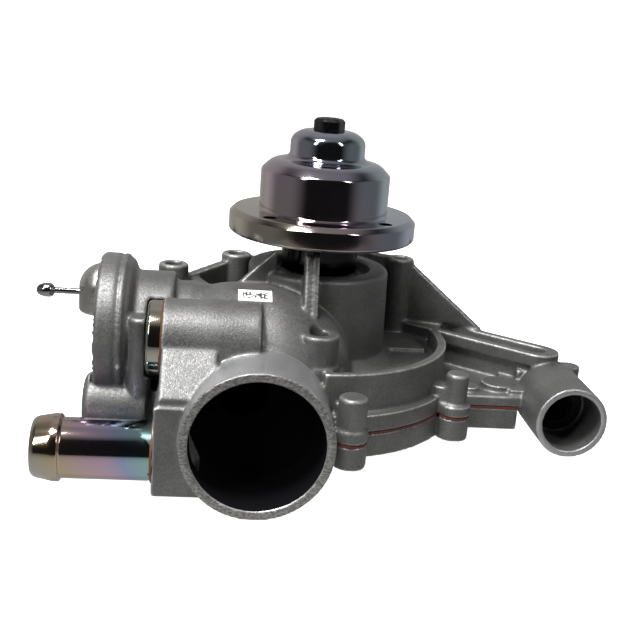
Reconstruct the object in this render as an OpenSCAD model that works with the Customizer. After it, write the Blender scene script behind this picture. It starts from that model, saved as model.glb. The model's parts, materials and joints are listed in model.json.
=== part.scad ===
// Belt-driven coolant pump with a vacuum-operated shut-off valve.
// Origin: shaft axis on the rear mounting face. +Z points along the shaft towards the
// pulley hub, the hose neck points along -Y and the heater nipple along -X. Millimetres.

/* [Pulley hub] */
// Diameter of the pulley flange
flange_d = 68; // [64:1:72]
// Height of the flange's pulley face above the mounting face
flange_top_z = 74.4; // [73:0.2:76]
// Thickness of the flange
flange_t = 8.4; // [7:0.2:9.5]
// Pitch circle of the pulley screws
pulley_pcd = 57; // [54:1:59]
// Tapping-drill diameter of the pulley screw holes
pulley_hole_d = 5; // [4:0.1:6]

/* [Hose neck] */
// Outside diameter of the hose neck
neck_d = 50; // [46:0.5:52]
// Wall thickness of the hose neck
neck_wall = 3.35; // [2.5:0.05:4.5]
// Reach of the hose neck from the shaft axis
neck_reach = 72; // [68:0.5:76]

/* [Heater nipple] */
// Diameter of the nipple's tube
nipple_d = 19.8; // [17:0.1:20.2]
// Diameter over the nipple's hose bead
nipple_bead_d = 22; // [21.5:0.1:23]

/* [Side port] */
// Outside diameter of the side port
port_d = 26; // [24.5:0.5:27]
// Diameter of the side port's socket
port_socket_d = 21.2; // [19:0.1:22]
// Depth of the side port's socket
port_socket_depth = 18; // [10:0.5:20]

/* [Volute] */
// Radius of the gasket flange
flange_r = 55; // [54:0.5:56]
// Radius of the cover-screw circle
screw_circle_r = 58; // [57.5:0.5:58.5]
// Diameter of the through-bolt holes
bolt_hole_d = 6.6; // [6:0.1:7]

/* [Actuator] */
// Outside diameter of the diaphragm casing
casing_d = 52; // [51.5:0.5:54]
// Diameter of the push rod
rod_d = 5; // [4:0.1:6]
// Working travel of the push rod
stroke = 5; // [4:0.1:5]

/* [Impeller] */
// Diameter of the impeller
impeller_d = 54; // [50:1:55]
// Number of impeller vanes
vane_count = 7; // [5:1:9]

/* [Hidden] */
$fn = 96;
eps = 0.01;

// heights above the mounting face
joint_z = 8.1;
gasket_t = 0.8;
front_z = joint_z + gasket_t;
// the front casting's pieces start below its joint face, and one cut then makes the face
base_z = front_z - 1;
ledge_z = 15;
floor_z = 21.5;
wall_top_z = 28.8;
boss_top_z = 54.5;
cavity_top_z = 13;
eye_top_z = 23;

// volute
wall_r = 50.2;
wall_t = 3.2;
ledge_r = 53.2;
cavity_r = 29.5;
eye_r = 17;
// inner and outer radius of the seal groove on the mounting face
groove_r = [31.6, 33.8];

// bearing and seal
bearing_r = 19.05;
bearing_bore_r = 15.5;
bearing_bottom_z = 32;
bearing_top_z = 51;
shaft_r = 9.5;
shaft_low_r = 6;
ball_r = 3;
ball_circle_r = (shaft_r + bearing_bore_r) / 2 - 0.05;
ball_rows_z = [37, 46];
seal_r = 14;
seal_bottom_z = 24;
seal_top_z = 30.8;

// hub
hub_r = flange_d / 2;
step1_r = 23.4;
step1_top_z = 93;
step2_r = 13.5;
hub_top_z = 103.5;
bolt_head_h = 4.2;
bolt_af = 10;

// hose neck
neck_x = -22;
neck_z = 10.9;
neck_r = neck_d / 2;
neck_bore_r = neck_r - neck_wall;
neck_bead_y = -44;

// nipple and its block
nipple_y = -57;
nipple_z = 2.5;
nipple_r = nipple_d / 2;
nipple_bore_r = 8.4;
// shoulder that the pressed nipple stops against
nipple_seat_x = -47.3;
block_x = -55;

// cross gallery and core plug
gallery_y = -40;
gallery_z = 35.5;
gallery_r = 13.5;
gallery_end_x = -54;
plug_r = 12.6;

// rounded chamber above the hose neck
chamber_y = -22;
chamber_z = 20.5;
chamber_r = 30;

// seat, rod and actuator share one axis along X
act_y = -20;
act_z = 32.5;
casing_r = casing_d / 2;
casing_x = [-77, -65];
barrel_y = -35.5;
barrel_z = 9.6;
barrel_r = 11;
drum_r = 20.5;
disc_rest_x = -25;
// the disc stops just short of the seat at full travel
seat_x = [disc_rest_x - stroke - 4.1, disc_rest_x - stroke - 0.1];
disc_t = 3;
disc_r = 10.8;
plate_rest_x = -66.3;
chamber_end_x = -61;
diaphragm_x = -67.55;
spring_r = 8;
spring_wire_r = 0.5;
spring_steps = 24;
spring_sides = 8;
spring_count = 3 * spring_steps;

// vacuum turret on the actuator cover
turret_x = -76;
turret_y = -18;
turret_r = 8.6;
turret_z = [37.5, 46];
tube_z = 44;
tube_r = 1.1;
olive_r = 2.5;

// side arm and port
port_x = 90.5;
port_z = 10.7;
port_r = port_d / 2;
port_face_y = -40;
beam_w = 15;
beam_from = [44, 30];
beam_to = [87, -4.8];
beam_z = [21.5, 26.5];
// coolant channel from the volute through the arm to the side port
channel_points = [[22, 14], [49.5, 25.6], [90.5, -7.7]];
channel_z = 13.4;
channel_r = 3.2;

// label on the suction chamber: corner, width and depth in plan
label_x = -29.8;
label_y = -34;
label_w = 11.6;
label_d = 6.6;

// [x, y, radius, top height] of the through-bolt bosses
bolt_bosses = [[-2, -40, 6.9, 40], [-30, 28, 5.8, 50.7], [36, 30, 5.7, 52], [-53.5, 8, 5.6, 50]];
// angles of the cover screws, and the one that holds the arm
screw_angles = [-81, -30.5, 68, 112, 158];
screw_places = concat([for (a = screw_angles) screw_circle_r * [cos(a), sin(a)]], [[70, -12]]);
screw_boss_r = 4.9;
dowel_angles = [-55, 150];
dowel_circle_r = 47.5;
weep_z = 29;
weep_angle = 62;

function beam_angle() = atan2(beam_to[1] - beam_from[1], beam_to[0] - beam_from[0]);
function beam_len() = norm(beam_to - beam_from);

// cylinder along +X from x0 to x1 about the line y, z
module along_x(x0, x1, r, y, z) {
    translate([x0, y, z]) rotate([0, 90, 0]) cylinder(h = x1 - x0, r = r);
}

// cylinder along Y from y0 to y1 about the line x, z
module along_y(y0, y1, r, x, z) {
    translate([x, y1, z]) rotate([90, 0, 0]) cylinder(h = y1 - y0, r = r);
}

// body of revolution about the line y, z along X: profile points are [x, r]
module turned_x(y, z, profile) {
    translate([0, y, z]) rotate([0, 90, 0]) rotate_extrude()
        polygon([for (p = profile) [p[1], p[0]]]);
}

module ring(r_out, r_in, z0, z1) {
    translate([0, 0, z0]) difference() {
        cylinder(h = z1 - z0, r = r_out);
        translate([0, 0, -eps]) cylinder(h = z1 - z0 + 2 * eps, r = r_in);
    }
}

// level bore from a to b in plan, running past b by over
module channel(a, b, r, over) {
    d = b - a;
    translate([a[0], a[1], channel_z]) rotate([0, 0, atan2(d[1], d[0])]) rotate([0, 90, 0])
        cylinder(h = norm(d) + over, r = r);
}

// flat bar in plan between two points, with round ends
module bar(a, b, w, z0, z1) {
    d = b - a;
    translate([a[0], a[1], z0]) rotate([0, 0, atan2(d[1], d[0])]) {
        translate([0, -w / 2, 0]) cube([norm(d), w, z1 - z0]);
        cylinder(h = z1 - z0, r = w / 2);
        translate([norm(d), 0, 0]) cylinder(h = z1 - z0, r = w / 2);
    }
}

// upright web from a to b: outline points are [distance along, height]
module web(a, b, t, outline) {
    d = b - a;
    translate([a[0], a[1], 0]) rotate([0, 0, atan2(d[1], d[0])])
        translate([0, t / 2, 0]) rotate([90, 0, 0]) linear_extrude(t) polygon(outline);
}

module bolt_holes(z0, z1) {
    for (b = bolt_bosses)
        translate([b[0], b[1], z0]) cylinder(h = z1 - z0, r = bolt_hole_d / 2);
}

module at_screws() {
    for (p = screw_places) translate([p[0], p[1], 0]) children();
}

module at_dowels() {
    for (a = dowel_angles) rotate([0, 0, a]) translate([dowel_circle_r, 0, 0]) children();
}

// plan outline shared by both castings and the gasket
module joint_outline(grow = 0) {
    circle(r = flange_r - 1.6 + grow);
    for (p = screw_places) translate(p) circle(r = screw_boss_r + 0.9 + grow);
    for (b = bolt_bosses) translate([b[0], b[1]]) circle(r = b[2] + grow);
    polygon([[48, -21.5 - grow], [76.5 + grow, -21.5 - grow], [76.5 + grow, 10 + grow],
             [52, 27 + grow], [36, 34 + grow]]);
    polygon([[-53.5, 2.4 - grow], [-53.5, 13.6 + grow], [-40, 34 + grow], [-30, 33.8 + grow],
             [0, 20], [-40, -8]]);
}

// ---- castings ----

module volute_outside() {
    translate([0, 0, base_z]) linear_extrude(ledge_z - base_z - 2) joint_outline();
    translate([0, 0, base_z]) cylinder(h = ledge_z - base_z, r = ledge_r);
    translate([0, 0, base_z]) cylinder(h = floor_z - base_z, r = wall_r);
    // rim wall on the open side
    difference() {
        translate([0, 0, floor_z - eps]) cylinder(h = wall_top_z - floor_z, r = wall_r);
        translate([0, 0, floor_z]) cylinder(h = wall_top_z, r = wall_r - wall_t);
        translate([-100, 8, floor_z]) cube([200, 100, 20]);
        translate([-110, -100, floor_z]) cube([110, 200, 20]);
    }
    translate([wall_r - wall_t / 2 - 0.8, 8, floor_z]) cylinder(h = wall_top_z - floor_z - eps, r = wall_t / 2);
    // raised shelf on the floor
    intersection() {
        translate([0, 0, floor_z - eps]) cylinder(h = 1.6, r = 43.5);
        translate([10, 0, 0]) cube([60, 21, 60]);
    }
    // cover screw bosses
    for (a = screw_angles) rotate([0, 0, a]) translate([screw_circle_r, 0, base_z]) {
        r = a == screw_angles[1] ? screw_boss_r - 0.8 : screw_boss_r;
        cylinder(h = 24.3 - base_z - 0.8, r = r);
        translate([0, 0, 24.3 - base_z - 0.8 - eps]) cylinder(h = 0.8, r1 = r, r2 = r - 0.8);
        translate([-9, -3.6, 0]) cube([9, 7.2, 11]);
    }
}

module bearing_boss_outside() {
    translate([0, 0, floor_z - 2]) cylinder(h = boss_top_z - floor_z + 2 - 1.2, r1 = 26.8, r2 = 25.8);
    translate([0, 0, boss_top_z - 1.2 - eps]) cylinder(h = 1.2, r1 = 25.8, r2 = 24.6);
    // root fillet ring
    translate([0, 0, floor_z - eps]) cylinder(h = 3.2, r1 = 30, r2 = 26.6);
}

module suction_outside() {
    // rounded chamber above the neck
    translate([-30, chamber_y, chamber_z]) sphere(r = chamber_r);
    translate([-18, chamber_y, chamber_z]) sphere(r = chamber_r);
    along_x(-30, -18, chamber_r, chamber_y, chamber_z);
    // neck, bead and shoulder
    along_y(-neck_reach, -20, neck_r, neck_x, neck_z);
    along_y(neck_bead_y - 1.2, neck_bead_y + 1.2, neck_r + 1.1, neck_x, neck_z);
    along_y(neck_bead_y, -20, neck_r + 2.2, neck_x, neck_z);
    // cross gallery
    along_x(gallery_end_x, -22, gallery_r, gallery_y, gallery_z);
    // block for the heater nipple, with a ledge, and the slope up to the gallery
    translate([block_x, -67.6, -9]) cube([20, 24.6, 30.4]);
    translate([block_x + 1.2, 0, 0]) rotate([90, 0, 90]) linear_extrude(18)
        polygon([[-66.4, 20], [-66.4, 24], [-53.3, 37], [-43, 37], [-43, 20]]);
}

module actuator_outside() {
    turned_x(act_y, act_z, [[casing_x[0], 0], [casing_x[0], casing_r - 1.4], [casing_x[0] + 1.2, casing_r],
        [-70.4, casing_r], [-70, casing_r - 0.7], [-69.2, casing_r - 0.7], [-68.8, casing_r],
        [-67.6, casing_r - 0.2], [-67.2, casing_r - 1.1], [-66.6, casing_r - 1.3], [-65.6, casing_r - 2.2],
        [-64.8, casing_r - 4], [-64.2, drum_r], [-52, drum_r], [-51.2, drum_r - 0.8], [-51.2, drum_r - 3],
        [-46, drum_r - 3], [-38, drum_r - 4], [-38, 0]]);
    // upright boss beside the plug, and the barrel under the casing
    translate([-61.5, -41, 8]) cylinder(h = 34.2, r = 4);
    translate([-61.5, -41, 42.2 - eps]) cylinder(h = 0.8, r1 = 4, r2 = 3.2);
    translate([-65.2, -41, 8]) cube([7.6, 12, 20]);
    turned_x(barrel_y, barrel_z, [[-80, 0], [-80, barrel_r - 2.4], [-79.4, barrel_r - 1], [-78, barrel_r],
        [-59.4, barrel_r], [-58.8, barrel_r - 0.6], [-58.8, 0]]);
    translate([-64, -41.5, 0]) cube([20, 18, 17]);
}

module arm_outside() {
    bar(beam_from, beam_to, beam_w, beam_z[0], beam_z[1]);
    bar(beam_from, [84, -2.4], beam_w - 4, base_z, beam_z[0] + eps);
    // side port
    along_y(port_face_y, -11, port_r, port_x, port_z);
    along_y(-11.5, 4, port_r - 1.6, port_x, port_z);
    translate([port_x - 12, -8, port_z - 8]) cube([12, 16, 16]);
    // small pad beside the port and pads on the arm's foot
    translate([99, -6, 8]) cylinder(h = 13.4, r = 4.2);
    translate([92, -9.5, 8]) cube([7.5, 7.4, 13.4]);
    translate([70, -12, base_z]) cylinder(h = 7.6, r = 6.2);
    translate([58.5, -16, base_z]) cylinder(h = 7, r = 3.4);
    translate([73, -20, base_z]) cube([14, 22, 7]);
}

module webs_outside() {
    // sloping web from the bearing boss to the side arm
    web([22, 33], [68, 20], 4, [[0, base_z], [0, 53], [17, 52], [50, 26.3], [50, base_z]]);
    // web between the left bosses and on to the bearing boss
    web([-53.5, 8], [-30, 28], 4, [[0, 20], [0, 43.5], [30.9, 48.8], [30.9, 20]]);
    web([-30, 28], [22, 33], 3.8, [[0, base_z], [0, 48.8], [52, 52.9], [52, base_z]]);
    web([-46, 13], [-38, -6], 5, [[0, base_z], [0, 43.4], [20, 43.4], [20, base_z]]);
    // rib from the bearing boss down to the front bolt boss, in two fins
    for (x = [-6.4, -3.4])
        web([x, -22], [x, -35.8], 1.9, [[0, 24], [0, 63], [5.2, 63], [13.2, 43.5], [13.2, 24]]);
    web([-4.9, -22], [-4.9, -35.8], 4, [[0, 24], [0, 62], [4.4, 62], [12.4, 42], [12.4, 24]]);
    // web from the bearing boss down to the suction chamber
    web([-16.5, -15], [-40, -20], 2.4, [[0, 30], [0, 62.5], [6.2, 57], [15.5, 48.5], [24, 44], [24, 30]]);
    // skirts that tie the bosses to the chamber
    translate([-2, -40, base_z]) cylinder(h = 21, r = 7.6);
    translate([-6, -41, base_z]) cube([14, 10, 18]);
}

module front_housing() color([0.56, 0.57, 0.57]) {
    difference() {
        union() {
            volute_outside();
            bearing_boss_outside();
            suction_outside();
            actuator_outside();
            arm_outside();
            webs_outside();
            for (b = bolt_bosses) {
                translate([b[0], b[1], base_z]) cylinder(h = b[3] - base_z - 0.7, r = b[2]);
                translate([b[0], b[1], b[3] - 0.7 - eps]) cylinder(h = 0.7, r1 = b[2], r2 = b[2] - 0.7);
            }
        }
        // joint face: nothing but the neck, block, barrel and port crosses into the rear casting
        translate([-49.5, -45, front_z - 60]) cube([126.9, 120, 60]);
        translate([3.1, -70, front_z - 60]) cube([74.3, 60, 60]);
        translate([-70, -21.5, front_z - 60]) cube([30, 90, 60]);
        // bearing, seal and impeller cavities
        translate([0, 0, bearing_bottom_z]) cylinder(h = 60, r = bearing_r);
        translate([0, 0, eye_top_z - 1]) cylinder(h = 20, r = seal_r);
        translate([0, 0, cavity_top_z - 1]) cylinder(h = eye_top_z - cavity_top_z + 1, r = eye_r);
        translate([0, 0, -20]) cylinder(h = 20 + cavity_top_z, r = cavity_r);
        // weep hole and drain slot of the bearing boss
        translate([0, 0, weep_z]) rotate([0, 90, weep_angle]) cylinder(h = 40, r = 2.2);
        // hose neck bore with its lead-in
        along_y(-neck_reach - 1, -49.5, neck_bore_r, neck_x, neck_z);
        translate([neck_x, -neck_reach - eps, neck_z]) rotate([-90, 0, 0])
            cylinder(h = 0.8, r1 = neck_bore_r + 0.8, r2 = neck_bore_r);
        along_y(-50.5, -38, 8.5, neck_x - 5, 21.5);
        translate([-42, -49, 14]) cube([6.5, 26, 15.5]);
        // inlet and outlet sides of the valve seat, and the way to the impeller eye
        along_x(-48.5, seat_x[0], 13.2, act_y, act_z);
        along_x(seat_x[0] - 1, seat_x[1], 12.4, act_y, act_z);
        along_x(seat_x[1] - eps, -19, 12.4, act_y, act_z);
        rotate([0, 0, 45 + 180]) translate([0, -10.5, 13.6]) cube([33, 21, 9.2]);
        translate([-23, -21, 14.4]) cylinder(h = 18, r = 8.6);
        // spot face round the plug, bore for the nipple, gallery bore and the plug's seat
        along_x(gallery_end_x - 5.8, gallery_end_x, plug_r + 0.7, gallery_y, gallery_z);
        along_x(block_x - 1, nipple_seat_x, nipple_r - 0.05, nipple_y, nipple_z);
        along_x(nipple_seat_x - 1, -40, nipple_bore_r - 0.5, nipple_y, nipple_z);
        along_x(gallery_end_x - 1, gallery_end_x + 5, plug_r - 0.8, gallery_y, gallery_z);
        along_x(gallery_end_x, -40, 9.5, gallery_y, gallery_z);
        // actuator: cover seat, diaphragm chamber, bush bore and breather
        along_x(casing_x[0] - 1, diaphragm_x, 24.4, act_y, act_z);
        along_x(diaphragm_x - 1, -65.4, 21, act_y, act_z);
        along_x(-66, chamber_end_x, 17.5, act_y, act_z);
        along_x(chamber_end_x - 1, -48, 5.5, act_y, act_z);
        translate([-63.2, act_y + 12, act_z - 26]) cylinder(h = 16, r = 1.3);
        // side port socket, its bore and the channel through the arm
        along_y(port_face_y - 1, port_face_y + port_socket_depth, port_socket_d / 2, port_x, port_z);
        along_y(port_face_y, -2, 6.2, port_x, port_z);
        channel(channel_points[0], channel_points[1], channel_r, 3);
        channel(channel_points[1], channel_points[2], channel_r - 0.4, 0);
        // pocket along the arm
        bar([57, 19.5], [86, -4], 7.4, beam_z[1] - 4.2, beam_z[1] + 1);
        // bolt holes, screw holes and dowel holes
        bolt_holes(-1, 60);
        at_screws() translate([0, 0, front_z - 1]) cylinder(h = 5.4, r = 2.5);
        at_dowels() translate([0, 0, front_z - 1]) cylinder(h = 6, r = 3);
    }
}

module rear_housing() color([0.52, 0.53, 0.53]) {
    difference() {
        intersection() {
            linear_extrude(joint_z) joint_outline();
            union() {
                translate([3.3, -70, 0]) cube([74, 140, 20]);
                translate([-62, -44.6, 0]) cube([70, 120, 20]);
            }
        }
        translate([0, 0, -1]) cylinder(h = 20, r = cavity_r);
        // discharge scroll
        translate([18, 14, 3.4]) cylinder(h = 20, r = 17);
        // seal groove on the mounting face
        ring(groove_r[1], groove_r[0], -1, 1.8);
        bolt_holes(-1, 20);
        at_screws() {
            translate([0, 0, -1]) cylinder(h = 20, r = 2.75);
            translate([0, 0, -1]) cylinder(h = 5.4, r = 4.4);
        }
        at_dowels() translate([0, 0, joint_z - 4]) cylinder(h = 5, r = 3);
    }
}

module housing_gasket() color([0.42, 0.16, 0.12]) {
    translate([0, 0, joint_z]) linear_extrude(gasket_t) difference() {
        intersection() {
            joint_outline(-0.1);
            union() {
                translate([3.3, -70]) square([74, 140]);
                translate([-62, -44.6]) square([70, 120]);
            }
        }
        circle(r = cavity_r + 0.5);
        translate([18, 14]) circle(r = 17);
        for (b = bolt_bosses) translate([b[0], b[1]]) circle(r = bolt_hole_d / 2 + 0.2);
        for (p = screw_places) translate(p) circle(r = 2.75);
        for (a = dowel_angles) translate(dowel_circle_r * [cos(a), sin(a)]) circle(r = 3);
    }
}

module mount_seal_ring() color([0.08, 0.08, 0.09]) {
    mid_r = (groove_r[0] + groove_r[1]) / 2;
    rotate_extrude() translate([mid_r, 0.95]) circle(r = 0.85, $fn = 24);
}

// ---- bearing, shaft and hub ----

module bearing_sleeve() color([0.62, 0.63, 0.65]) {
    difference() {
        ring(bearing_r, bearing_bore_r, bearing_bottom_z, bearing_top_z);
        for (z = ball_rows_z) translate([0, 0, z])
            rotate_extrude() translate([ball_circle_r, 0]) circle(r = ball_r + 0.25, $fn = 32);
    }
}

module bearing_balls() color([0.75, 0.76, 0.78]) {
    for (z = ball_rows_z)
        for (i = [0:9]) rotate([0, 0, 36 * i]) translate([ball_circle_r, 0, z]) sphere(r = ball_r, $fn = 32);
}

module bearing_cages() color([0.55, 0.45, 0.22]) {
    for (z = ball_rows_z) difference() {
        ring(ball_circle_r + 1.4, ball_circle_r - 1.4, z - 2.2, z + 3.2);
        for (i = [0:9]) rotate([0, 0, 36 * i]) translate([ball_circle_r, 0, z]) sphere(r = ball_r + 0.1, $fn = 32);
    }
}

module bearing_seals() color([0.1, 0.1, 0.11]) {
    ring(bearing_bore_r - 0.02, shaft_r + 0.3, bearing_bottom_z + 0.4, bearing_bottom_z + 1.6);
    ring(bearing_bore_r - 0.02, shaft_r + 0.3, bearing_top_z - 1.6, bearing_top_z - 0.4);
}

module pump_shaft() color([0.6, 0.61, 0.63]) {
    difference() {
        rotate_extrude() polygon([[0, 1.2], [shaft_low_r - 0.6, 1.2], [shaft_low_r, 1.8], [shaft_low_r, 22.4],
            [shaft_r - 1.5, 22.4], [shaft_r - 1.5, 31.4], [shaft_r, 31.9],
            [shaft_r, 52.4], [shaft_r - 1.5, 53], [shaft_r - 1.5, hub_top_z - 4.5], [0, hub_top_z - 4.5]]);
        for (z = ball_rows_z) translate([0, 0, z])
            rotate_extrude() translate([ball_circle_r, 0]) circle(r = ball_r + 0.1, $fn = 32);
        translate([0, 0, hub_top_z - 24]) cylinder(h = 24, r = 3);
    }
}

module pulley_hub() color([0.66, 0.64, 0.62]) {
    z0 = flange_top_z - flange_t;
    difference() {
        rotate_extrude() polygon([[shaft_r - 1.48, 53], [14, 53], [14, z0], [hub_r - 1.2, z0],
            [hub_r, z0 + 1.2], [hub_r, flange_top_z - 1.8], [hub_r - 1.8, flange_top_z],
            [step1_r + 0.6, flange_top_z], [step1_r, flange_top_z + 0.6], [step1_r, step1_top_z - 4.4],
            [step1_r - 3.2, step1_top_z - 1.2], [step1_r - 5, step1_top_z - 0.4], [step1_r - 6.6, step1_top_z],
            [step2_r + 1.6, step1_top_z + 0.3], [step2_r + 0.4, step1_top_z + 1.1], [step2_r, step1_top_z + 2.6],
            [step2_r, hub_top_z - 3.4], [step2_r - 0.9, hub_top_z - 1.3], [step2_r - 2.8, hub_top_z - 0.3],
            [step2_r - 4.5, hub_top_z], [3.2, hub_top_z], [3.2, hub_top_z - 4.4], [shaft_r - 1.48, hub_top_z - 4.4]]);
        for (i = [0:3]) rotate([0, 0, 90 * i + 45]) translate([pulley_pcd / 2, 0, z0 - 1])
            cylinder(h = flange_t + 2, r = pulley_hole_d / 2);
    }
}

module hub_bolt() color([0.07, 0.07, 0.08]) {
    head_r = bolt_af / sqrt(3);
    translate([0, 0, hub_top_z]) intersection() {
        cylinder(h = bolt_head_h, r = head_r, $fn = 6);
        rotate_extrude() polygon([[0, 0], [head_r, 0], [head_r, bolt_head_h - 0.8], [head_r - 1, bolt_head_h],
            [0, bolt_head_h]]);
    }
    translate([0, 0, hub_top_z - 20]) cylinder(h = 20, r = 2.98);
}

// ---- water side of the rotor ----

module impeller() color([0.2, 0.21, 0.22]) {
    r = impeller_d / 2;
    difference() {
        union() {
            translate([0, 0, 1.4]) cylinder(h = 2, r = r);
            translate([0, 0, 1.4]) cylinder(h = 16, r = 11.5);
            for (i = [0:vane_count - 1]) rotate([0, 0, 360 / vane_count * i]) intersection() {
                translate([0, 0, 2.2]) cylinder(h = 9.6, r = r - 0.5);
                // a curved vane: a slice of a tube that stands beside the hub
                translate([12, 17, 1.8]) difference() {
                    cylinder(h = 12, r = 18.3);
                    translate([0, 0, -1]) cylinder(h = 14, r = 16.1);
                }
                translate([11, -9, 1]) cube([22, 24, 14]);
            }
        }
        translate([0, 0, -1]) cylinder(h = 40, r = shaft_low_r + 0.02);
    }
}

module seal_cup() color([0.68, 0.66, 0.6]) {
    rotate_extrude() polygon([[seal_r, seal_bottom_z - 0.8], [seal_r, seal_top_z], [shaft_r + 1, seal_top_z],
        [shaft_r + 1, seal_top_z - 0.8], [seal_r - 0.8, seal_top_z - 0.8], [seal_r - 0.8, seal_bottom_z - 0.8]]);
}

module seal_spring() color([0.7, 0.71, 0.73]) {
    for (z = [26.6, 28, 29.4]) translate([0, 0, z])
        rotate_extrude() translate([12, 0]) circle(r = 0.6, $fn = 16);
}

module seal_carbon_ring() color([0.12, 0.12, 0.13]) {
    rotate_extrude() polygon([[shaft_r + 0.6, 20.6], [12.4, 20.6], [12.4, 24], [13, 24], [13, 25.8],
        [shaft_r + 0.6, 25.8]]);
}

module seal_mating_ring() color([0.88, 0.87, 0.84]) {
    ring(12.6, shaft_low_r + 0.02, 17.45, 20.3);
}

// ---- fittings ----

module heater_nipple() color([0.66, 0.65, 0.62]) {
    r = nipple_r;
    b = nipple_bead_d / 2;
    // pressed end, hose seat, bead with a short land, then the tapered nose
    turned_x(nipple_y, nipple_z, [[nipple_seat_x - 0.1, nipple_bore_r], [nipple_seat_x - 0.1, r - 0.8],
        [nipple_seat_x - 0.7, r - 0.1], [-56.4, r - 0.1],
        [-56.6, r], [-83.9, r], [-84.4, b], [-87, b], [-92, r + 0.1], [-92.9, r - 0.4], [-93.3, r - 1],
        [-93.3, nipple_bore_r + 0.3], [-93, nipple_bore_r]]);
}

module nipple_sealant() color([0.55, 0.3, 0.14]) {
    r = nipple_r - 0.1;
    turned_x(nipple_y, nipple_z, [[block_x, r], [block_x, r + 0.9], [block_x - 0.5, r + 0.7], [block_x - 0.8, r]]);
}

module core_plug() color([0.66, 0.65, 0.62]) {
    x = gallery_end_x;
    r = plug_r;
    turned_x(gallery_y, gallery_z, [[x + 3, 0], [x + 3, r - 0.8], [x, r - 0.8], [x, r - 0.1], [x - 0.6, r],
        [x - 4.4, r], [x - 5, r - 0.6], [x - 5, r - 1.6], [x - 4.4, r - 2.2], [x - 1.6, r - 2.6], [x - 1.6, 0]]);
}

module plug_sealant() color([0.4, 0.2, 0.12]) {
    x = gallery_end_x;
    turned_x(gallery_y, gallery_z, [[x, plug_r - 0.1], [x, plug_r + 0.5], [x - 0.3, plug_r + 0.3], [x - 0.5, plug_r]]);
}

// ---- vacuum actuator ----

module actuator_cover() color([0.74, 0.72, 0.68]) {
    cup_r = 22.9;
    difference() {
        union() {
            turned_x(act_y, act_z, [[-75.6, 0], [-75.6, cup_r - 1.5], [-74.6, cup_r], [-69.4, cup_r],
                [-69.4, 24.2], [-68.4, 24.2], [-68.4, cup_r - 0.8], [-74.2, cup_r - 0.8], [-74.8, cup_r - 1.6],
                [-74.8, 0]]);
            translate([turret_x, turret_y, turret_z[0]]) cylinder(h = turret_z[1] - turret_z[0], r = turret_r);
            translate([turret_x, turret_y, turret_z[1]]) sphere(r = turret_r);
            translate([turret_x, turret_y, turret_z[0] - 0.8 + eps])
                cylinder(h = 0.8, r1 = turret_r - 0.8, r2 = turret_r);
        }
        translate([turret_x, turret_y, turret_z[0] + 0.3])
            cylinder(h = turret_z[1] - turret_z[0] - 0.3, r = turret_r - 0.9);
        translate([turret_x, turret_y, turret_z[1] - eps]) sphere(r = turret_r - 0.9);
        // open towards the diaphragm
        translate([-74.8, turret_y - 12, turret_z[0] - 4]) cube([12, 24, 26]);
        along_x(turret_x - turret_r - 2, turret_x, tube_r, turret_y, tube_z);
    }
    // rim of the cup above the opening
    intersection() {
        turned_x(act_y, act_z, [[-75.6, cup_r - 2.5], [-75.6, cup_r - 1.5], [-74.6, cup_r], [-69.4, cup_r],
            [-69.4, 24.2], [-68.4, 24.2], [-68.4, cup_r - 0.8], [-74.2, cup_r - 0.8], [-74.8, cup_r - 1.6],
            [-74.8, cup_r - 2.5]]);
        translate([-80, turret_y - 12, turret_z[0] - 4]) cube([20, 24, 26]);
    }
}

module cover_ring() color([0.35, 0.35, 0.36]) {
    turned_x(act_y, act_z, [[-70.8, 23], [-70.8, 24.4], [-69.5, 24.4], [-69.5, 23]]);
}

module vacuum_tube() color([0.6, 0.61, 0.62]) {
    x = turret_x - turret_r;
    difference() {
        turned_x(turret_y, tube_z, [[x + 1.4, 0], [x + 1.4, tube_r], [x - 8.4, tube_r], [x - 8.7, 1.9],
            [x - 9.6, olive_r], [x - 11.6, olive_r], [x - 12.6, olive_r - 0.3], [x - 13.8, 1.7],
            [x - 14.4, 0.9], [x - 14.5, 0]]);
        along_x(x - 20, x + 2, 0.55, turret_y, tube_z);
    }
}

module diaphragm() color([0.13, 0.12, 0.12]) {
    turned_x(act_y, act_z, [[-68.2, 14], [-68.2, 24.2], [-67.6, 24.2], [-67.6, 20.6], [-66.4, 19.4],
        [-66, 17.6], [-66.4, 15.8], [-67.6, 14.6], [-67.6, 14]]);
}

module diaphragm_plate() color([0.72, 0.71, 0.68]) {
    x = plate_rest_x;
    turned_x(act_y, act_z, [[x + 2.6, rod_d / 2], [x + 2.6, 12.5], [x + 1.9, 13], [x, 13], [x - 0.8, 12],
        [x - 0.8, 10.6], [x + 0.4, 10.2], [x + 0.4, rod_d / 2]]);
}

// one point of the spring's wire: ring i along the coil, corner j round the wire
function spring_point(i, j) = let (a = 360 * i / spring_steps, b = 360 * j / spring_sides,
    r = spring_r + spring_wire_r * cos(b), x0 = -74.2, x1 = plate_rest_x - 0.2)
    [x0 + (x1 - x0) * i / spring_count + spring_wire_r * sin(b), act_y + r * cos(a), act_z + r * sin(a)];

module actuator_spring() color([0.68, 0.69, 0.71]) {
    polyhedron(
        points = [for (i = [0:spring_count]) for (j = [0:spring_sides - 1]) spring_point(i, j)],
        faces = concat(
            [[for (j = [0:spring_sides - 1]) j]],
            [for (i = [0:spring_count - 1]) for (j = [0:spring_sides - 1]) let (k = (j + 1) % spring_sides)
                [i * spring_sides + j, (i + 1) * spring_sides + j, (i + 1) * spring_sides + k,
                 i * spring_sides + k]],
            [[for (j = [spring_sides - 1:-1:0]) spring_count * spring_sides + j]]));
}

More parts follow.
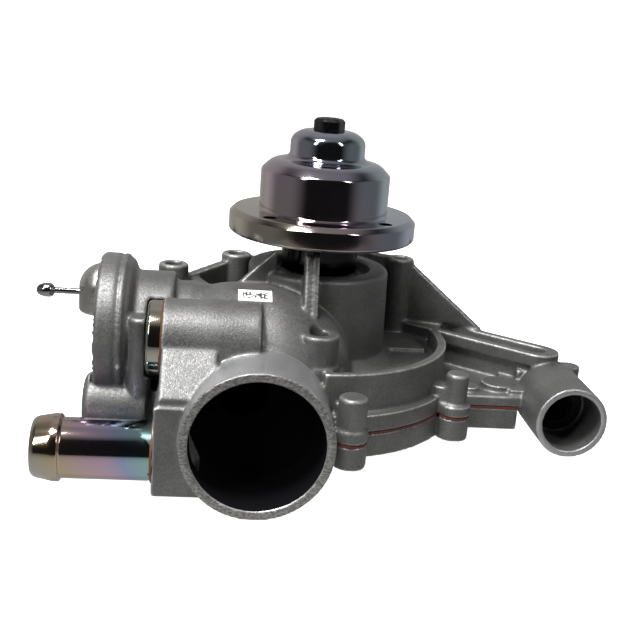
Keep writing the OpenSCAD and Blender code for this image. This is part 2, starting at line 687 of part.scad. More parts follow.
module push_rod() color([0.7, 0.71, 0.73]) {
    r = rod_d / 2;
    turned_x(act_y, act_z, [[plate_rest_x - 1.4, 0], [plate_rest_x - 1.4, 3.6], [plate_rest_x + 0.4, 3.6],
        [plate_rest_x + 0.4, r], [disc_rest_x, r], [disc_rest_x, r - 0.5], [disc_rest_x + 5, r - 0.5],
        [disc_rest_x + 5, 0]]);
}

module rod_bush() color([0.72, 0.56, 0.26]) {
    turned_x(act_y, act_z, [[-60.8, rod_d / 2 + 0.04], [-60.8, 5.5], [-53.4, 5.5], [-53.4, rod_d / 2 + 0.04]]);
}

module rod_seal() color([0.1, 0.1, 0.11]) {
    turned_x(act_y, act_z, [[-53.2, 4.6], [-53.2, 5.5], [-50.4, 5.5], [-50.4, rod_d / 2 + 0.06],
        [-51.2, rod_d / 2 + 0.06], [-51.2, 4.6]]);
}

module valve_disc() color([0.16, 0.16, 0.17]) {
    x = disc_rest_x;
    turned_x(act_y, act_z, [[x, rod_d / 2 - 0.5], [x, disc_r - 0.6], [x + 0.6, disc_r], [x + disc_t, disc_r],
        [x + disc_t, rod_d / 2 - 0.5]]);
}

module valve_disc_nut() color([0.7, 0.71, 0.73]) {
    translate([disc_rest_x + disc_t, act_y, act_z]) rotate([0, 90, 0]) difference() {
        cylinder(h = 1.8, r = 4.2, $fn = 6);
        translate([0, 0, -1]) cylinder(h = 4, r = rod_d / 2 - 0.5);
    }
}

module valve_seat() color([0.7, 0.68, 0.62]) {
    turned_x(act_y, act_z, [[seat_x[0], 8.2], [seat_x[0], 12.4], [seat_x[1] + 0, 12.4], [seat_x[1], 9.2],
        [seat_x[1] - 1, 8.2]]);
}

// ---- fasteners and small parts ----

module cover_screws() color([0.45, 0.45, 0.46]) {
    at_screws() difference() {
        union() {
            translate([0, 0, 0.6]) cylinder(h = 3.8, r = 4.1);
            translate([0, 0, 4.3]) cylinder(h = joint_z + 0.4, r = 2.45);
        }
        translate([0, 0, 0.5]) cylinder(h = 2.4, r = 2.3, $fn = 6);
    }
}

module dowel_sleeves() color([0.6, 0.6, 0.62]) {
    at_dowels() translate([0, 0, joint_z - 3.8]) difference() {
        cylinder(h = 9, r = 2.95);
        translate([0, 0, -1]) cylinder(h = 12, r = 2.1);
    }
}

module weep_cover() color([0.15, 0.15, 0.16]) {
    translate([0, 0, weep_z]) rotate([0, 90, weep_angle]) translate([0, 0, 24.4]) difference() {
        cylinder(h = 3.6, r = 2.15);
        translate([0, 0, -1]) cylinder(h = 3, r = 1.3);
    }
}

module label() color([0.92, 0.92, 0.9]) {
    intersection() {
        difference() {
            along_x(-36, -14, chamber_r + 0.25, chamber_y, chamber_z);
            along_x(-37, -13, chamber_r + 0.05, chamber_y, chamber_z);
        }
        translate([label_x, label_y, 40]) cube([label_w, label_d, 20]);
    }
}

front_housing();
rear_housing();
housing_gasket();
mount_seal_ring();
bearing_sleeve();
bearing_balls();
bearing_cages();
bearing_seals();
pump_shaft();
pulley_hub();
hub_bolt();
impeller();
seal_cup();
seal_spring();
seal_carbon_ring();
seal_mating_ring();
heater_nipple();
nipple_sealant();
core_plug();
plug_sealant();
actuator_cover();
cover_ring();
vacuum_tube();
diaphragm();
diaphragm_plate();
actuator_spring();
push_rod();
rod_bush();
rod_seal();
valve_disc();
valve_disc_nut();
valve_seat();
cover_screws();
dowel_sleeves();
weep_cover();
label();
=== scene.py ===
"""Coolant pump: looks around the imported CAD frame. Metres, +Z up."""

import json
import math

import bmesh
import bpy
from mathutils import Matrix, Vector


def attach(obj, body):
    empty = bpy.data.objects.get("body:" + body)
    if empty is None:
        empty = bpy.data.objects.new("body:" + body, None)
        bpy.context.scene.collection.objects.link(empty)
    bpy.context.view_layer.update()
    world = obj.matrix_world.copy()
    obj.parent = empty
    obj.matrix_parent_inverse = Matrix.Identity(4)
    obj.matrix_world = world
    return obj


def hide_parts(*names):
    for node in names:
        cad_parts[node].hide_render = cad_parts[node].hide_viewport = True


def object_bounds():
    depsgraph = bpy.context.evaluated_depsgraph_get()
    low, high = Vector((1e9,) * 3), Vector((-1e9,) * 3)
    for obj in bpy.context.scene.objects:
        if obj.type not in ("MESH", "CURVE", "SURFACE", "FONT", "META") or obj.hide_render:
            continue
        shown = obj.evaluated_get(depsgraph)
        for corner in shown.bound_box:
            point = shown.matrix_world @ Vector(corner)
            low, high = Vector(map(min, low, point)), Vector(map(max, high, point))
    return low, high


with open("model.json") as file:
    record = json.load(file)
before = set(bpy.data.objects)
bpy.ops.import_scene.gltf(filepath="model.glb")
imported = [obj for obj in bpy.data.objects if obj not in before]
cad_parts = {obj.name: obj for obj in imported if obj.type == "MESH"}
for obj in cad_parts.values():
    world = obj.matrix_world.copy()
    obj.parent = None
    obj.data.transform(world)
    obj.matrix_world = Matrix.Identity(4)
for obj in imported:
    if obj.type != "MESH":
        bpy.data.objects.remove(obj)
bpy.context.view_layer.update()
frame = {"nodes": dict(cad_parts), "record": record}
NODES = frame["nodes"]
MM = 0.001
TURN = 2 * math.pi

# places on the part, in mm
NECK_AT = (-22, 10.9)  # x, z of the hose neck's axis
NECK_REACH = 25.3
NECK_BORE = 22.2
NECK_LAND_Y, NECK_FACE_Y = -45.6, -71.6
PORT_AT = (90.5, 10.7)
PORT_REACH, PORT_BORE = 14, 9.6
SKIRT_TOP_Z = 65.9
LABEL_X = (-29.8, -18.2)
LABEL_Y = (-34.0, -27.4)
LABEL_CELL = 0.62
NIPPLE_AT = (0, -57, 2.5)
PLUG_AT = (0, -40, 35.5)
TURRET_AT = (-76, -18, 0)
COVER_AT = (0, -20, 32.5)
TUBE_AT = (0, -18, 44)

# ---- camera ----

CAMERA_AT = Vector((-37.5, -359.7, 138.8)) * MM
CAMERA_AIM = Vector((1.1, -10.0, 35.6)) * MM
CAMERA_ROLL = math.radians(4.63)
CAMERA_LENS = 56.2


def make_camera():
    data = bpy.data.cameras.new("camera")
    data.lens = CAMERA_LENS
    data.sensor_width = 36
    camera = bpy.data.objects.new("camera", data)
    bpy.context.scene.collection.objects.link(camera)
    look = (CAMERA_AIM - CAMERA_AT).to_track_quat("-Z", "Y").to_matrix().to_4x4()
    camera.matrix_world = Matrix.Translation(CAMERA_AT) @ look @ Matrix.Rotation(CAMERA_ROLL, 4, "Z")
    bpy.context.scene.camera = camera


def area_light(name, at, aim, size, power):
    data = bpy.data.lights.new(name, "AREA")
    data.shape = "RECTANGLE"
    data.size, data.size_y = size
    data.energy = power
    light = bpy.data.objects.new(name, data)
    bpy.context.scene.collection.objects.link(light)
    light.location = at
    light.rotation_euler = (Vector(aim) - Vector(at)).to_track_quat("-Z", "Y").to_euler()


# ---- node helpers ----


class Nodes:
    """Short names for building a material's node tree."""

    def __init__(self, name):
        self.mat = bpy.data.materials.new(name)
        self.mat.use_nodes = True
        self.tree = self.mat.node_tree
        self.shader = self.tree.nodes["Principled BSDF"]
        self.point = self.add("ShaderNodeTexCoord").outputs["Object"]

    def add(self, kind, **settings):
        node = self.tree.nodes.new(kind)
        for key, value in settings.items():
            setattr(node, key, value)
        return node

    def wire(self, source, socket):
        if isinstance(source, (int, float, tuple)):
            socket.default_value = source
        else:
            self.tree.links.new(source, socket)

    def math(self, operation, a, b=0.0, clamp=False):
        node = self.add("ShaderNodeMath", operation=operation, use_clamp=clamp)
        self.wire(a, node.inputs[0])
        self.wire(b, node.inputs[1])
        return node.outputs[0]

    def noise(self, scale, detail=3.0, rough=0.55, at=None, stretch=None):
        node = self.add("ShaderNodeTexNoise")
        node.inputs["Scale"].default_value = scale
        node.inputs["Detail"].default_value = detail
        node.inputs["Roughness"].default_value = rough
        where = at or self.point
        if stretch:
            mapping = self.add("ShaderNodeMapping")
            mapping.inputs["Scale"].default_value = stretch
            self.wire(where, mapping.inputs["Vector"])
            where = mapping.outputs[0]
        self.wire(where, node.inputs["Vector"])
        return node.outputs["Fac"]

    def spread(self, value, low, high, to_low=0.0, to_high=1.0):
        """value from low..high to to_low..to_high, clamped."""
        node = self.add("ShaderNodeMapRange")
        self.wire(value, node.inputs["Value"])
        for socket, number in (("From Min", low), ("From Max", high), ("To Min", to_low), ("To Max", to_high)):
            node.inputs[socket].default_value = number
        return node.outputs[0]

    def mix(self, factor, a, b):
        node = self.add("ShaderNodeMix", data_type="RGBA")
        self.wire(factor, node.inputs["Factor"])
        self.wire(a, node.inputs["A"])
        self.wire(b, node.inputs["B"])
        return node.outputs["Result"]

    def ramp(self, value, stops):
        node = self.add("ShaderNodeValToRGB")
        elements = node.color_ramp.elements
        while len(elements) < len(stops):
            elements.new(0.5)
        for element, (at, colour) in zip(elements, stops):
            element.position = at
            element.color = (*colour, 1)
        self.wire(value, node.inputs["Fac"])
        return node.outputs["Color"]

    def axes(self):
        node = self.add("ShaderNodeSeparateXYZ")
        self.wire(self.point, node.inputs[0])
        return node.outputs

    def reach(self, x, z, at_x, at_z):
        """Distance from a line along Y through at_x, at_z in mm."""
        across, up = self.math("SUBTRACT", x, at_x * MM), self.math("SUBTRACT", z, at_z * MM)
        square = self.math("ADD", self.math("MULTIPLY", across, across), self.math("MULTIPLY", up, up))
        return self.math("SQRT", square)

    def bump(self, height, depth, strength=1.0, under=None):
        node = self.add("ShaderNodeBump")
        self.wire(strength, node.inputs["Strength"])
        node.inputs["Distance"].default_value = depth
        self.wire(height, node.inputs["Height"])
        if under:
            self.wire(under, node.inputs["Normal"])
        return node.outputs[0]

    def finish(self, colour, roughness, metallic=0.0, normal=None, **extra):
        self.wire(colour, self.shader.inputs["Base Color"])
        self.wire(roughness, self.shader.inputs["Roughness"])
        self.wire(metallic, self.shader.inputs["Metallic"])
        if normal:
            self.wire(normal, self.shader.inputs["Normal"])
        for socket, value in extra.items():
            self.shader.inputs[socket.replace("_", " ")].default_value = value
        return self.mat


# ---- materials ----


def cast_metal(name, dark, light):
    """Blasted casting: fine grain, slow blotches, lighter patches on its sharp edges, painted shade in the bores, and
    machined surfaces by place.
    """
    n = Nodes(name)
    grain = n.noise(2300, 2.0, 0.6)
    blotch = n.noise(60, 4.0, 0.6)
    speck = n.noise(1100, 1.0)
    tone = n.math("ADD", n.math("MULTIPLY", grain, 0.5), n.math("MULTIPLY", blotch, 0.5))
    colour = n.ramp(n.spread(tone, 0.3, 0.72), [(0.0, dark), (1.0, light)])
    # lighter colour on sharp convex edges, in noisy patches
    edge = n.spread(n.add("ShaderNodeNewGeometry").outputs["Pointiness"], 0.525, 0.57)
    edge_patches = n.math("MULTIPLY", edge, n.spread(n.noise(240, 3.0), 0.3, 0.6, 0.3, 1.0))
    colour = n.mix(edge_patches, colour, (0.7, 0.69, 0.67, 1))
    # machined surfaces: outside of the hose neck, its cut face and the port's face
    x, y, z = n.axes()
    neck = n.reach(x, z, *NECK_AT)
    port = n.reach(x, z, *PORT_AT)
    ahead = n.math("LESS_THAN", y, NECK_LAND_Y * MM)
    in_neck = n.math("MULTIPLY", ahead, n.math("LESS_THAN", neck, NECK_REACH * MM))
    cut_face = n.math("LESS_THAN", y, NECK_FACE_Y * MM)
    port_face = n.math("MULTIPLY", n.math("LESS_THAN", y, -39.6 * MM), n.math("LESS_THAN", port, PORT_REACH * MM))
    turned = n.math("MAXIMUM", in_neck, port_face)
    streaks = n.noise(1400, 3.0, 0.6, stretch=(1.0, 1.0, 0.12))
    mixed = n.math("ADD", n.math("MULTIPLY", streaks, 0.5), n.math("MULTIPLY", blotch, 0.5))
    smooth = n.ramp(n.spread(mixed, 0.3, 0.7), [(0.0, (0.33, 0.334, 0.34)), (1.0, (0.52, 0.525, 0.53))])
    colour = n.mix(n.math("MULTIPLY", turned, 0.85), colour, smooth)
    saw = n.noise(900, 5.0, 0.75, stretch=(1.0, 1.0, 2.2))
    pits = n.ramp(n.spread(saw, 0.42, 0.6), [(0.0, (0.1, 0.097, 0.09)), (1.0, (0.42, 0.41, 0.385))])
    colour = n.mix(n.math("MULTIPLY", cut_face, 0.85), colour, pits)
    # painted shade: the insides of the neck's and the port's bores are coloured near black and made dull, standing in
    # for the shade inside them
    neck_shade_mask = n.math("MULTIPLY", n.math("LESS_THAN", neck, NECK_BORE * MM), n.math("LESS_THAN", y, -36 * MM))
    neck_shade_mask = n.math("MULTIPLY", neck_shade_mask, n.math("GREATER_THAN", y, -71.4 * MM))
    port_shade_mask = n.math("MULTIPLY", n.math("LESS_THAN", port, PORT_BORE * MM), n.math("LESS_THAN", y, -20 * MM))
    painted_bore_shade = n.math("MAXIMUM", neck_shade_mask, n.math("MULTIPLY", port_shade_mask, 0.85))
    colour = n.mix(painted_bore_shade, colour, (0.006, 0.006, 0.007, 1))
    metallic = n.math("MULTIPLY", n.math("SUBTRACT", 1.0, painted_bore_shade), 0.7)
    rough = n.math("SUBTRACT", n.spread(speck, 0.3, 0.7, 0.4, 0.58), n.math("MULTIPLY", turned, 0.12))
    rough = n.math("MAXIMUM", rough, n.math("MULTIPLY", painted_bore_shade, 0.8))
    height = n.math("MULTIPLY", n.math("ADD", grain, n.math("MULTIPLY", speck, 0.7)),
                    n.math("SUBTRACT", 1.0, n.math("MULTIPLY", turned, 0.7)))
    normal = n.bump(height, 0.14 * MM, 0.6)
    n.wire(n.math("MULTIPLY", n.math("SUBTRACT", 1.0, painted_bore_shade), 0.5), n.shader.inputs["Specular IOR Level"])
    return n.finish(colour, rough, metallic, n.bump(saw, 0.25 * MM, n.math("MULTIPLY", cut_face, 0.6), normal))


FILM = [(0.0, (0.42, 0.43, 0.4)), (0.16, (0.56, 0.42, 0.24)), (0.32, (0.56, 0.34, 0.5)), (0.48, (0.28, 0.36, 0.6)),
        (0.64, (0.25, 0.5, 0.5)), (0.8, (0.4, 0.5, 0.34)), (1.0, (0.42, 0.43, 0.4))]


def plated_steel(name, axis):
    """Turned steel with clear zinc: fine lathe lines round the axis and a colour film that drifts over it."""
    n = Nodes(name)
    x, y, z = n.axes()
    drift = n.math("MULTIPLY", n.noise(24, 2.0, 0.5), 0.8)
    if axis == "X":
        phase = n.math("ADD", n.math("MULTIPLY", x, 16.0), n.math("MULTIPLY", z, 10.0))
        start, share = 1.1, 0.7
    else:
        phase = n.math("ADD", n.math("MULTIPLY", x, 8.0), n.math("MULTIPLY", z, 4.0))
        start, share = 0.62, 0.36
    film = n.ramp(n.math("FRACT", n.math("ADD", n.math("ADD", drift, phase), start)), FILM)
    colour = n.mix(share, (0.4, 0.4, 0.385, 1), film)
    if axis == "Z":  # painted shade: the skirt under the flange is coloured near black, standing in for the flange's shadow
        colour = n.mix(n.math("LESS_THAN", z, SKIRT_TOP_Z * MM), colour, (0.035, 0.035, 0.036, 1))
    stretch = {"X": (1.0, 0.02, 0.02), "Z": (0.02, 0.02, 1.0)}[axis]
    lines = n.noise(5200, 2.0, 0.6, stretch=stretch)
    rough = n.spread(n.noise(90, 3.0), 0.3, 0.7, 0.07, 0.13)
    return n.finish(colour, rough, 1.0, n.bump(lines, 0.02 * MM, 0.16))


def plain_metal(name, colour, low, high, grain=900, depth=0.02):
    n = Nodes(name)
    blotch = n.noise(grain / 10, 3.0)
    fine = n.noise(grain, 2.0)
    base = n.mix(n.spread(blotch, 0.3, 0.7), tuple(c * 0.82 for c in colour) + (1,), tuple(colour) + (1,))
    return n.finish(base, n.spread(fine, 0.3, 0.7, low, high), 1.0, n.bump(fine, depth * MM, 0.4))


def moulded(name, colour, low, high, grain=1500, depth=0.05):
    n = Nodes(name)
    blotch = n.noise(grain / 14, 3.0)
    fine = n.noise(grain, 3.0)
    base = n.mix(n.spread(blotch, 0.3, 0.7), tuple(c * 0.72 for c in colour) + (1,), tuple(colour) + (1,))
    return n.finish(base, n.spread(fine, 0.3, 0.7, low, high), 0.0, n.bump(fine, depth * MM, 0.4))


def label_paper():
    """White sticker with a block of plain square cells on it."""
    n = Nodes("label_paper")
    cell = n.add("ShaderNodeVectorMath", operation="FLOOR")
    scaled = n.add("ShaderNodeVectorMath", operation="SCALE")
    scaled.inputs["Scale"].default_value = 1 / (LABEL_CELL * MM)
    n.wire(n.point, scaled.inputs[0])
    n.wire(scaled.outputs[0], cell.inputs[0])
    flat = n.add("ShaderNodeVectorMath", operation="MULTIPLY")
    flat.inputs[1].default_value = (1, 1, 0)
    n.wire(cell.outputs[0], flat.inputs[0])
    chance = n.add("ShaderNodeTexWhiteNoise", noise_dimensions="3D")
    n.wire(flat.outputs[0], chance.inputs["Vector"])
    dots = n.math("GREATER_THAN", chance.outputs["Value"], 0.42)
    x, y, _ = n.axes()
    inside = 1.0
    for value, low, high in ((x, LABEL_X[0] + 1.5, LABEL_X[1] - 1.5), (y, LABEL_Y[0] + 1.2, LABEL_Y[1] - 1.6)):
        inside = n.math("MULTIPLY", inside, n.math("GREATER_THAN", value, low * MM))
        inside = n.math("MULTIPLY", inside, n.math("LESS_THAN", value, high * MM))
    colour = n.mix(n.math("MULTIPLY", dots, inside), (0.85, 0.85, 0.82, 1), (0.05, 0.05, 0.05, 1))
    return n.finish(colour, n.spread(n.noise(800), 0.3, 0.7, 0.45, 0.6), 0.0)


# one finish for each material slot of the record
FINISH = {
    "cast_front": cast_metal("cast_front", (0.09, 0.09, 0.089), (0.24, 0.238, 0.232)),
    "cast_rear": cast_metal("cast_rear", (0.085, 0.085, 0.083), (0.22, 0.218, 0.21)),
    "gasket": moulded("gasket", (0.12, 0.03, 0.022), 0.5, 0.7),
    "seal_rubber": moulded("seal_rubber", (0.03, 0.03, 0.032), 0.5, 0.7),
    "bearing_steel": plain_metal("bearing_steel", (0.42, 0.42, 0.43), 0.2, 0.35),
    "ball_steel": plain_metal("ball_steel", (0.7, 0.7, 0.72), 0.08, 0.14),
    "cage_brass": plain_metal("cage_brass", (0.55, 0.4, 0.17), 0.3, 0.45),
    "ground_steel": plain_metal("ground_steel", (0.5, 0.5, 0.51), 0.18, 0.3),
    "zinc_steel": plated_steel("zinc_steel", "Z"),
    "black_oxide": plain_metal("black_oxide", (0.035, 0.035, 0.037), 0.25, 0.42, 700, 0.04),
    "impeller_plastic": moulded("impeller_plastic", (0.05, 0.05, 0.055), 0.4, 0.6),
    "stainless": plain_metal("stainless", (0.6, 0.59, 0.57), 0.18, 0.32),
    "carbon": moulded("carbon", (0.04, 0.04, 0.042), 0.3, 0.45),
    "ceramic": moulded("ceramic", (0.75, 0.74, 0.7), 0.15, 0.25),
    "sealant": moulded("sealant", (0.16, 0.05, 0.018), 0.35, 0.5, 700, 0.15),
    "pressed_steel": plain_metal("pressed_steel", (0.56, 0.54, 0.51), 0.26, 0.38, 1400, 0.02),
    "tube_steel": plain_metal("tube_steel", (0.36, 0.36, 0.37), 0.1, 0.2),
    "screw_steel": plain_metal("screw_steel", (0.35, 0.35, 0.35), 0.3, 0.45),
    "label_white": label_paper(),
}
PLATED_X = plated_steel("zinc_steel_x", "X")

# ---- pieces ----


def new_piece(name, mesh, slot, body, material=None):
    obj = bpy.data.objects.new(name, mesh)
    bpy.context.scene.collection.objects.link(obj)
    obj.data.materials.clear()
    obj.data.materials.append(material or FINISH[slot])
    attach(obj, body)
    return obj


def lathe_mesh(name, profile, axis, centre, steps=160, closed=False):
    """Surface of revolution about a line along axis through centre: profile rows are (along, radius) in mm."""
    mesh_data = bmesh.new()
    rings = []
    for along, radius in profile:
        if radius < 1e-6:
            rings.append([mesh_data.verts.new((0, 0, along))])
            continue
        rings.append([mesh_data.verts.new((radius * math.cos(TURN * i / steps), radius * math.sin(TURN * i / steps),
                                           along)) for i in range(steps)])
    pairs = list(zip(rings, rings[1:]))
    if closed:
        pairs.append((rings[-1], rings[0]))
    for a, b in pairs:
        for i in range(steps):
            j = (i + 1) % steps
            if len(a) == 1 and len(b) > 1:
                mesh_data.faces.new((a[0], b[j], b[i]))
            elif len(b) == 1 and len(a) > 1:
                mesh_data.faces.new((a[i], a[j], b[0]))
            elif len(a) > 1:
                mesh_data.faces.new((a[i], a[j], b[j], b[i]))
    bmesh.ops.recalc_face_normals(mesh_data, faces=mesh_data.faces)
    mesh = bpy.data.meshes.new(name)
    mesh_data.to_mesh(mesh)
    mesh_data.free()
    turn = {"Z": Matrix.Identity(4), "X": Matrix.Rotation(math.pi / 2, 4, "Y")}[axis]
    mesh.transform(Matrix.Translation(Vector(centre) * MM) @ turn @ Matrix.Scale(MM, 4))
    return mesh


def rounded(profile, radius, parts=5):
    """Profile with its sharp corners rounded: radius is one number, or one for each row."""
    radii = radius if isinstance(radius, (list, tuple)) else [radius] * len(profile)
    out = [profile[0]]
    for k in range(1, len(profile) - 1):
        here = Vector(profile[k])
        before, after = Vector(profile[k - 1]) - here, Vector(profile[k + 1]) - here
        reach = min(radii[k], before.length * 0.49, after.length * 0.49)
        if reach < 1e-3:
            out.append(tuple(here))
            continue
        a, b = here + before.normalized() * reach, here + after.normalized() * reach
        for i in range(parts + 1):
            t = i / parts
            out.append(tuple(a * (1 - t) ** 2 + here * 2 * t * (1 - t) + b * t * t))
    out.append(profile[-1])
    return out


def shade(obj, angle=32):
    for polygon in obj.data.polygons:
        polygon.use_smooth = True
    obj.data.set_sharp_from_angle(angle=math.radians(angle))


def applied(obj):
    """Puts the result of obj's modifiers in its mesh."""
    bpy.context.view_layer.update()
    done = bpy.data.meshes.new_from_object(obj.evaluated_get(bpy.context.evaluated_depsgraph_get()))
    old = obj.data
    obj.modifiers.clear()
    obj.data = done
    bpy.data.meshes.remove(old)


def cast_piece(name, node, slot, voxel, rounds):
    """The CAD casting with its corners softened as a foundry leaves them."""
    source = bmesh.new()
    source.from_mesh(NODES[node].data)
    bmesh.ops.remove_doubles(source, verts=source.verts, dist=2e-6)
    mesh = bpy.data.meshes.new(name)
    source.to_mesh(mesh)
    source.free()
    obj = new_piece(name, mesh, slot, "root")
    remesh = obj.modifiers.new("remesh", "REMESH")
    remesh.mode = "VOXEL"
    remesh.voxel_size = voxel * MM
    soften = obj.modifiers.new("soften", "SMOOTH")
    soften.factor = 0.5
    soften.iterations = rounds
    applied(obj)
    for polygon in obj.data.polygons:
        polygon.use_smooth = True
    obj.data.materials.clear()
    obj.data.materials.append(FINISH[slot])
    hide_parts(node)
    return obj


def drill(obj, places, radius, z0, z1):
    """Cuts upright round holes through obj."""
    cutters = []
    for x, y in places:
        mesh = lathe_mesh("cutter", [(z0, 0), (z0, radius), (z1, radius), (z1, 0)], "Z", (x, y, 0), 48)
        cutter = bpy.data.objects.new("cutter", mesh)
        bpy.context.scene.collection.objects.link(cutter)
        cut = obj.modifiers.new("cut", "BOOLEAN")
        cut.operation = "DIFFERENCE"
        cut.solver = "EXACT"
        cut.object = cutter
        cutters.append(cutter)
    applied(obj)
    for cutter in cutters:
        bpy.data.objects.remove(cutter)


def make_hub():
    flange, z0, z1 = 34.0, 66.0, 74.4
    profile = [(53, 8.0), (53, 14), (z0, 14), (z0, flange - 0.9), (z0 + 0.9, flange), (z1 - 1.8, flange),
               (z1, flange - 1.8), (z1, 23.4), (88.7, 23.4), (92.4, 19.6), (93.0, 15.4), (94.4, 13.5),
               (100.6, 13.5), (103.5, 9.4), (103.5, 3.2), (99, 3.2), (99, 8.0)]
    radii = [0, 0.3, 0.6, 0.3, 0.3, 0.35, 0.5, 1.1, 0.7, 2.6, 1.6, 1.6, 2.2, 2.6, 0.3, 0.2, 0]
    obj = new_piece("hub", lathe_mesh("hub", rounded(profile, radii, 6), "Z", (0, 0, 0), 192, closed=True),
                    "zinc_steel", "rotor")
    places = [(28.5 * math.cos(TURN * (i / 4 + 0.125)), 28.5 * math.sin(TURN * (i / 4 + 0.125))) for i in range(4)]
    drill(obj, places, 2.5, z0 - 1, z1 + 1)
    obj.data.materials.clear()
    obj.data.materials.append(FINISH["zinc_steel"])
    shade(obj, 24)
    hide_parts("pulley_hub")


def make_bolt():
    """Hexagon head with a dished top on its plain shank."""
    across, top, low = 10.0, 107.7, 103.5
    corner = across / math.sqrt(3)
    body = bmesh.new()
    rows = [(low - 20, 2.98, True), (low, 2.98, True), (low, corner, False), (top - 1.0, corner, False),
            (top - 0.25, corner - 0.75, False), (top, corner - 1.3, False), (top - 0.35, corner - 2.4, False)]
    rings = []
    for z, radius, is_round in rows:
        ring = []
        for i in range(48):
            angle = TURN * i / 48
            reach = radius
            if not is_round:
                turn = (angle % (math.pi / 3)) - math.pi / 6
                flat = radius * math.cos(math.pi / 6) / math.cos(turn)
                reach = min(flat, radius * 0.975)
            ring.append(body.verts.new((reach * math.cos(angle) * MM, reach * math.sin(angle) * MM, z * MM)))
        rings.append(ring)
    for a, b in zip(rings, rings[1:]):
        for i in range(48):
            body.faces.new((a[i], a[(i + 1) % 48], b[(i + 1) % 48], b[i]))
    body.faces.new(list(reversed(rings[0])))
    body.faces.new(rings[-1])
    bmesh.ops.recalc_face_normals(body, faces=body.faces)
    mesh = bpy.data.meshes.new("hub_screw")
    body.to_mesh(mesh)
    body.free()
    obj = new_piece("hub_screw", mesh, "black_oxide", "rotor")
    shade(obj, 20)
    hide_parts("hub_bolt")


def make_nipple():
    outer = [(-46, 8.4), (-46, 9.2), (-46.6, 9.8), (-56.4, 9.8), (-56.6, 9.9), (-83.9, 9.9), (-84.5, 11.0),
             (-86.6, 11.0), (-92.2, 9.9), (-93.3, 9.0), (-93.3, 8.6), (-92.6, 8.4)]
    profile = rounded(outer, [0, 0.2, 0.3, 0, 0, 0.5, 0.35, 0.8, 1.2, 0.6, 0.1, 0], 6)
    obj = new_piece("nipple", lathe_mesh("nipple", profile, "X", NIPPLE_AT, 128, closed=True), "zinc_steel",
                    "root", PLATED_X)
    shade(obj, 30)
    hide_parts("heater_nipple")


def make_plug():
    x = -54.0
    outer = [(x + 3, 0), (x + 3, 11.8), (x, 11.8), (x, 12.5), (x - 0.6, 12.6), (x - 4.3, 12.6), (x - 5, 12.0),
             (x - 5, 11.0), (x - 4.4, 10.4), (x - 1.6, 10.0), (x - 1.6, 0)]
    profile = rounded(outer, [0, 0.3, 0, 0.1, 0.3, 0.4, 0.35, 0.3, 0.4, 0.8, 0], 4)
    obj = new_piece("plug", lathe_mesh("plug", profile, "X", PLUG_AT, 128), "zinc_steel", "root", PLATED_X)
    shade(obj, 30)
    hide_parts("core_plug")


def make_turret():
    """Upright bullet-shaped housing on the actuator's cover, and the shallow cover behind it."""
    low, high, radius = 37.5, 46.0, 8.6
    outer = [(low, 0), (low, radius)] + [(high, radius)]
    outer = rounded(outer, [0, 1.2, 0], 5)
    dome = [(high + radius * math.sin(t), radius * math.cos(t)) for t in (math.pi / 2 * i / 14 for i in range(1, 14))]
    profile = outer + dome + [(high + radius, 0)]
    mesh = lathe_mesh("turret", profile, "Z", TURRET_AT, 96)
    outside = bmesh.new()  # only what stands out of the cover; the diaphragm's plate moves behind it
    outside.from_mesh(mesh)
    bmesh.ops.bisect_plane(outside, geom=outside.verts[:] + outside.edges[:] + outside.faces[:],
                           plane_co=(-75.2 * MM, 0, 0), plane_no=(1, 0, 0), clear_outer=True)
    bmesh.ops.holes_fill(outside, edges=[e for e in outside.edges if e.is_boundary])
    outside.to_mesh(mesh)
    outside.free()
    turret = new_piece("turret", mesh, "pressed_steel", "root")
    shade(turret, 40)
    cup = rounded([(-75.6, 0), (-75.6, 22.9), (-69.4, 22.9), (-69.4, 24.2), (-68.4, 24.2), (-68.4, 22.1),
                   (-74.8, 22.1), (-74.8, 0)], [0, 1.6, 0.3, 0.1, 0.1, 0.3, 1.2, 0], 5)
    cover = new_piece("cover", lathe_mesh("cover", cup, "X", COVER_AT, 128), "pressed_steel", "root")
    shade(cover, 40)
    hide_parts("actuator_cover")
    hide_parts("actuator_cover")


def make_tube():
    x = -84.6
    outer = [(x + 1.4, 0.55), (x + 1.4, 1.1), (x - 8.4, 1.1), (x - 8.7, 1.9), (x - 9.6, 2.5), (x - 11.6, 2.5),
             (x - 12.6, 2.2), (x - 13.8, 1.7), (x - 14.4, 0.9), (x - 14.5, 0.55)]
    profile = rounded(outer, [0, 0, 0.5, 0.5, 0.6, 0.7, 0.8, 0.8, 0.2, 0], 4)
    obj = new_piece("tube", lathe_mesh("tube", profile, "X", TUBE_AT, 48, closed=True), "tube_steel", "root")
    shade(obj, 40)
    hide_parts("vacuum_tube")


# ---- scene ----

make_camera()
cast_piece("casting_front", "front_housing", "cast_front", 0.62, 4)
cast_piece("casting_rear", "rear_housing", "cast_rear", 0.62, 3)
make_hub()
make_bolt()
make_nipple()
make_plug()
make_turret()
make_tube()

slots = {part["node"]: part["material_slot"] for part in frame["record"]["subparts"]}
for name, node in NODES.items():
    finish = FINISH[slots[name]]
    node.data.materials.clear()
    node.data.materials.append(finish)
    shade(node, 28)


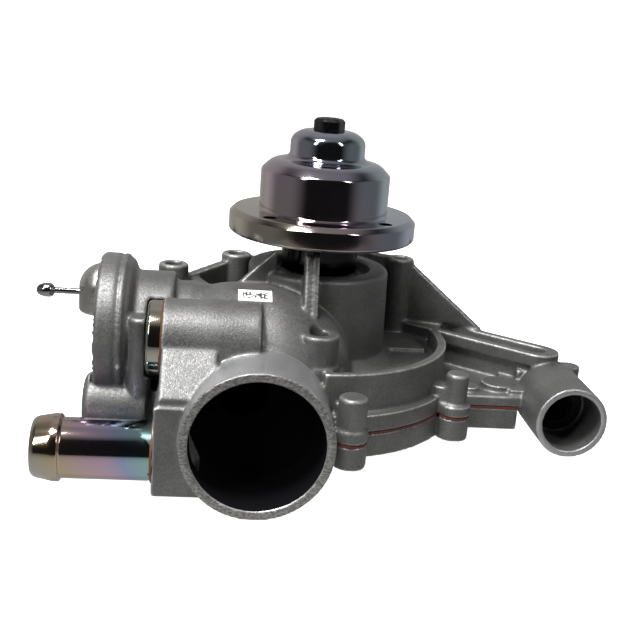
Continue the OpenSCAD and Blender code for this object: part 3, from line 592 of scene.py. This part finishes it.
def make_stage():
    """A white sheet under the part and a white dome round it, for the camera only: the world stands for the room."""
    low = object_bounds()[0][2] - 0.0005
    n = Nodes("white")
    white = n.finish((0.9, 0.9, 0.9, 1), 0.9, Emission_Color=(1, 1, 1, 1), Emission_Strength=1.0)
    bpy.ops.mesh.primitive_plane_add(size=15, location=(0, 0, low))
    floor = bpy.context.object
    floor.name = "floor"
    bpy.ops.mesh.primitive_uv_sphere_add(segments=48, ring_count=24, radius=9, location=(0, 0, low))
    dome = bpy.context.object
    dome.name = "dome"
    for obj in (floor, dome):
        obj.data.materials.append(white)
        obj.visible_glossy = False
        obj.visible_diffuse = False
        obj.visible_shadow = False
    # the table's own bounce: bright near the part, dark further out
    t = Nodes("table")
    x, y, _ = t.axes()
    reach = t.math("SQRT", t.math("ADD", t.math("MULTIPLY", x, x), t.math("MULTIPLY", y, y)))
    t.wire(t.spread(reach, 0.1, 0.24, 0.42, 0.0), t.shader.inputs["Emission Strength"])
    bpy.ops.mesh.primitive_plane_add(size=0.6, location=(0, 0, low - 0.001))
    table = bpy.context.object
    table.name = "table"
    table.data.materials.append(t.finish((0.1, 0.1, 0.1, 1), 0.9, Emission_Color=(1, 1, 1, 1)))
    table.visible_camera = False
    table.visible_shadow = False


def make_world():
    """A pale wall behind, a pale table below, dim sides, and a dark room on the camera's side."""
    world = bpy.data.worlds.new("studio")
    bpy.context.scene.world = world
    world.use_nodes = True
    tree = world.node_tree
    split = tree.nodes.new("ShaderNodeSeparateXYZ")
    tree.links.new(tree.nodes.new("ShaderNodeTexCoord").outputs["Generated"], split.inputs[0])
    x, y, z = split.outputs

    def step(value, low, high, to_low, to_high):
        node = tree.nodes.new("ShaderNodeMapRange")
        node.interpolation_type = "SMOOTHSTEP"
        for socket, number in (("From Min", low), ("From Max", high), ("To Min", to_low), ("To Max", to_high)):
            node.inputs[socket].default_value = number
        tree.links.new(value, node.inputs["Value"])
        return node.outputs[0]

    def blend(operation, a, b=0.0):
        node = tree.nodes.new("ShaderNodeMath")
        node.operation = operation
        for source, socket in ((a, node.inputs[0]), (b, node.inputs[1])):
            if isinstance(source, float):
                socket.default_value = source
            else:
                tree.links.new(source, socket)
        return node.outputs[0]

    side = step(blend("ABSOLUTE", x), 0.55, 0.95, 0.0, 0.2)
    table = step(z, -0.9, -0.6, 0.15, 0.0)
    ceiling = step(z, 0.75, 0.98, 0.0, 0.3)
    wall = step(y, 0.1, 0.7, 0.0, 0.42)
    strength = blend("ADD", blend("ADD", side, table), blend("ADD", blend("ADD", ceiling, 0.012), wall))
    back = tree.nodes["Background"]
    back.inputs["Color"].default_value = (1, 1, 1, 1)
    tree.links.new(strength, back.inputs["Strength"])


bpy.context.scene.view_settings.view_transform = "Standard"
make_stage()
make_world()
area_light("key", (-0.3, -0.25, 0.85), (0, 0, 0.04), (0.22, 0.22), 12)
area_light("strip_left", (-0.5, -0.5, 0.5), (0, 0, 0.06), (0.08, 0.4), 2.2)
area_light("strip_right", (0.42, -0.5, 0.6), (0, 0, 0.06), (0.06, 0.35), 1.4)
